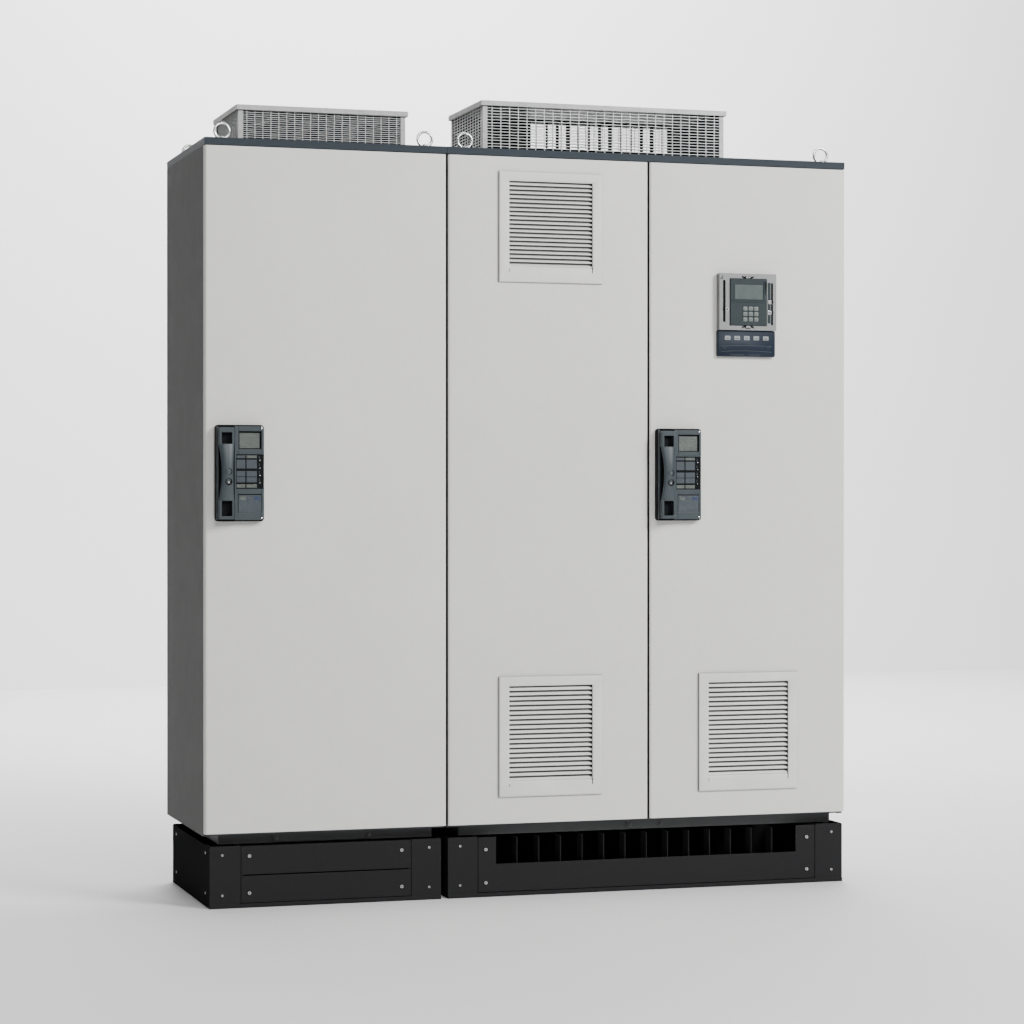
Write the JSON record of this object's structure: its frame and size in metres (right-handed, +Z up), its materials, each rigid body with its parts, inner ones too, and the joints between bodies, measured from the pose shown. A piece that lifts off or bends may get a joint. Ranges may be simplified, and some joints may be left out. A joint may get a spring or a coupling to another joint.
{
  "type": "variable frequency drive",
  "caption": "Floor-standing variable frequency drive in two joined cabinets, with louvred doors, swing handles, door keypad, plinths and meshed roof exhaust hoods.",
  "frame": {"origin": "on the floor, in the middle of the whole object's box", "axes": "+Z up, +X to the right seen from the front, +Y from the doors to the back"},
  "size_m": [1.96, 0.659, 2.34],
  "materials": {
    "door_paint": "light grey textured powder coat",
    "roof_paint": "blue-grey semi-matt paint",
    "plinth_paint": "black textured powder coat",
    "frame_metal": "zinc-coated sheet steel",
    "hood_metal": "galvanised sheet steel",
    "wire": "bright galvanised wire",
    "fastener": "bright zinc-plated steel",
    "grille_plastic": "light grey moulded plastic",
    "handle_plastic": "blue-grey moulded plastic",
    "bezel_metal": "satin silver",
    "keypad_plastic": "dark grey moulded plastic",
    "display": "grey-green display window",
    "key_rubber": "light grey moulded rubber",
    "strip_plastic": "navy moulded plastic",
    "lamp": "clear grey lens",
    "device_plastic": "grey device housing",
    "knob_plastic": "black knob",
    "iron": "varnished iron core and coils",
    "fan_plastic": "black fan plastic"
  },
  "bodies": {
    "cabinet": {"plinth_left_frame": "plinth_paint", "plinth_right_frame": "plinth_paint", "plinth_left_panels": "plinth_paint", "plinth_right_panels": "plinth_paint", "plinth_right_front": "plinth_paint", "panel_screws": "fastener", "gland_plates": "frame_metal", "lifting_eyes": "fastener", "hinge_brackets": "frame_metal", "frame_left": "frame_metal", "frame_right": "frame_metal", "side_panel_left": "door_paint", "side_panel_right": "door_paint", "rear_panel_left": "door_paint", "rear_panel_right": "door_paint", "roof_left": "roof_paint", "roof_right": "roof_paint", "hood_frame_left": "hood_metal", "hood_frame_right": "hood_metal", "hood_screens_left": "wire", "hood_screens_right": "wire", "hood_lid_left": "hood_metal", "hood_lid_right": "hood_metal", "mounting_plate_left": "frame_metal", "mounting_plate_right": "frame_metal", "fan_housings": "fan_plastic", "main_switch": "device_plastic", "line_choke": "iron", "power_modules": "device_plastic"},
    "door_left": {"door_left": "door_paint", "handle_plate_left": "handle_plastic"},
    "door_centre": {"door_centre": "door_paint", "grille_centre_top": "grille_plastic", "grille_centre_bottom": "grille_plastic"},
    "door_right": {"door_right": "door_paint", "grille_right_bottom": "grille_plastic", "handle_plate_right": "handle_plastic", "keypad_bezel": "bezel_metal", "keypad_body": "keypad_plastic", "keypad_display": "display", "keypad_strip": "strip_plastic", "strip_lamps": "lamp"},
    "lever_left": {"handle_lever_left": "handle_plastic"},
    "rod_up_left": {"lock_rod_up_left": "frame_metal"},
    "rod_down_left": {"lock_rod_down_left": "frame_metal"},
    "rotor_left": {"fan_rotor_left": "fan_plastic"},
    "lever_right": {"handle_lever_right": "handle_plastic"},
    "rod_up_right": {"lock_rod_up_right": "frame_metal"},
    "rod_down_right": {"lock_rod_down_right": "frame_metal"},
    "rotor_right": {"fan_rotor_right": "fan_plastic"},
    "switch_knob": {"main_switch_knob": "knob_plastic"},
    "key_1": {"key_1": "key_rubber"},
    "key_2": {"key_2": "key_rubber"},
    "key_3": {"key_3": "key_rubber"},
    "key_4": {"key_4": "key_rubber"},
    "key_5": {"key_5": "key_rubber"},
    "key_6": {"key_6": "key_rubber"},
    "key_7": {"key_7": "key_rubber"},
    "key_8": {"key_8": "key_rubber"},
    "key_9": {"key_9": "key_rubber"}
  },
  "joints": [
    {"name": "door_left_swing", "type": "hinge", "parent": "cabinet", "child": "door_left", "pos_m": [-0.2815, -0.2615, 1.18], "axis": [0, 0, 1], "range_deg": [0, 110]},
    {"name": "door_centre_swing", "type": "hinge", "parent": "cabinet", "child": "door_centre", "pos_m": [-0.2595, -0.2615, 1.18], "axis": [0, 0, 1], "range_deg": [-110, 0]},
    {"name": "door_right_swing", "type": "hinge", "parent": "cabinet", "child": "door_right", "pos_m": [0.971, -0.2615, 1.18], "axis": [0, 0, 1], "range_deg": [0, 110]},
    {"name": "lever_left_turn", "type": "hinge", "parent": "door_left", "child": "lever_left", "pos_m": [-0.926, -0.3, 1.338], "axis": [0, 1, 0], "range_deg": [-90, 0]},
    {"name": "rod_up_left_slide", "type": "slide", "parent": "door_left", "child": "rod_up_left", "axis": [0, 0, 1], "range_m": [-0.01454, 0]},
    {"name": "rod_down_left_slide", "type": "slide", "parent": "door_left", "child": "rod_down_left", "axis": [0, 0, 1], "range_m": [0, 0.01454]},
    {"name": "lever_right_turn", "type": "hinge", "parent": "door_right", "child": "lever_right", "pos_m": [0.394, -0.3, 1.338], "axis": [0, 1, 0], "range_deg": [-90, 0]},
    {"name": "rod_up_right_slide", "type": "slide", "parent": "door_right", "child": "rod_up_right", "axis": [0, 0, 1], "range_m": [-0.01454, 0]},
    {"name": "rod_down_right_slide", "type": "slide", "parent": "door_right", "child": "rod_down_right", "axis": [0, 0, 1], "range_m": [0, 0.01454]},
    {"name": "key_1_press", "type": "slide", "parent": "door_right", "child": "key_1", "axis": [0, 1, 0], "range_m": [0, 0.001], "stiffness_N_per_m": 400, "springref_m": -0.001},
    {"name": "key_2_press", "type": "slide", "parent": "door_right", "child": "key_2", "axis": [0, 1, 0], "range_m": [0, 0.001], "stiffness_N_per_m": 400, "springref_m": -0.001},
    {"name": "key_3_press", "type": "slide", "parent": "door_right", "child": "key_3", "axis": [0, 1, 0], "range_m": [0, 0.001], "stiffness_N_per_m": 400, "springref_m": -0.001},
    {"name": "key_4_press", "type": "slide", "parent": "door_right", "child": "key_4", "axis": [0, 1, 0], "range_m": [0, 0.001], "stiffness_N_per_m": 400, "springref_m": -0.001},
    {"name": "key_5_press", "type": "slide", "parent": "door_right", "child": "key_5", "axis": [0, 1, 0], "range_m": [0, 0.001], "stiffness_N_per_m": 400, "springref_m": -0.001},
    {"name": "key_6_press", "type": "slide", "parent": "door_right", "child": "key_6", "axis": [0, 1, 0], "range_m": [0, 0.001], "stiffness_N_per_m": 400, "springref_m": -0.001},
    {"name": "key_7_press", "type": "slide", "parent": "door_right", "child": "key_7", "axis": [0, 1, 0], "range_m": [0, 0.001], "stiffness_N_per_m": 400, "springref_m": -0.001},
    {"name": "key_8_press", "type": "slide", "parent": "door_right", "child": "key_8", "axis": [0, 1, 0], "range_m": [0, 0.001], "stiffness_N_per_m": 400, "springref_m": -0.001},
    {"name": "key_9_press", "type": "slide", "parent": "door_right", "child": "key_9", "axis": [0, 1, 0], "range_m": [0, 0.001], "stiffness_N_per_m": 400, "springref_m": -0.001},
    {"name": "switch_knob_turn", "type": "hinge", "parent": "cabinet", "child": "switch_knob", "pos_m": [-0.625, 0.07, 1.62], "axis": [0, 1, 0], "range_deg": [0, 90]},
    {"name": "rotor_left_spin", "type": "hinge", "parent": "cabinet", "child": "rotor_left", "pos_m": [-0.6, 0.0645, 2.21], "axis": [0, 0, 1], "continuous": true},
    {"name": "rotor_right_spin", "type": "hinge", "parent": "cabinet", "child": "rotor_right", "pos_m": [0.2715, 0.072, 2.21], "axis": [0, 0, 1], "continuous": true}
  ],
  "couplings": [
    {"joint": "rod_up_left_slide", "follows": "lever_left_turn", "m_per_rad": 0.00925},
    {"joint": "rod_down_left_slide", "follows": "lever_left_turn", "m_per_rad": -0.00925},
    {"joint": "rod_up_right_slide", "follows": "lever_right_turn", "m_per_rad": 0.00925},
    {"joint": "rod_down_right_slide", "follows": "lever_right_turn", "m_per_rad": -0.00925}
  ]
}
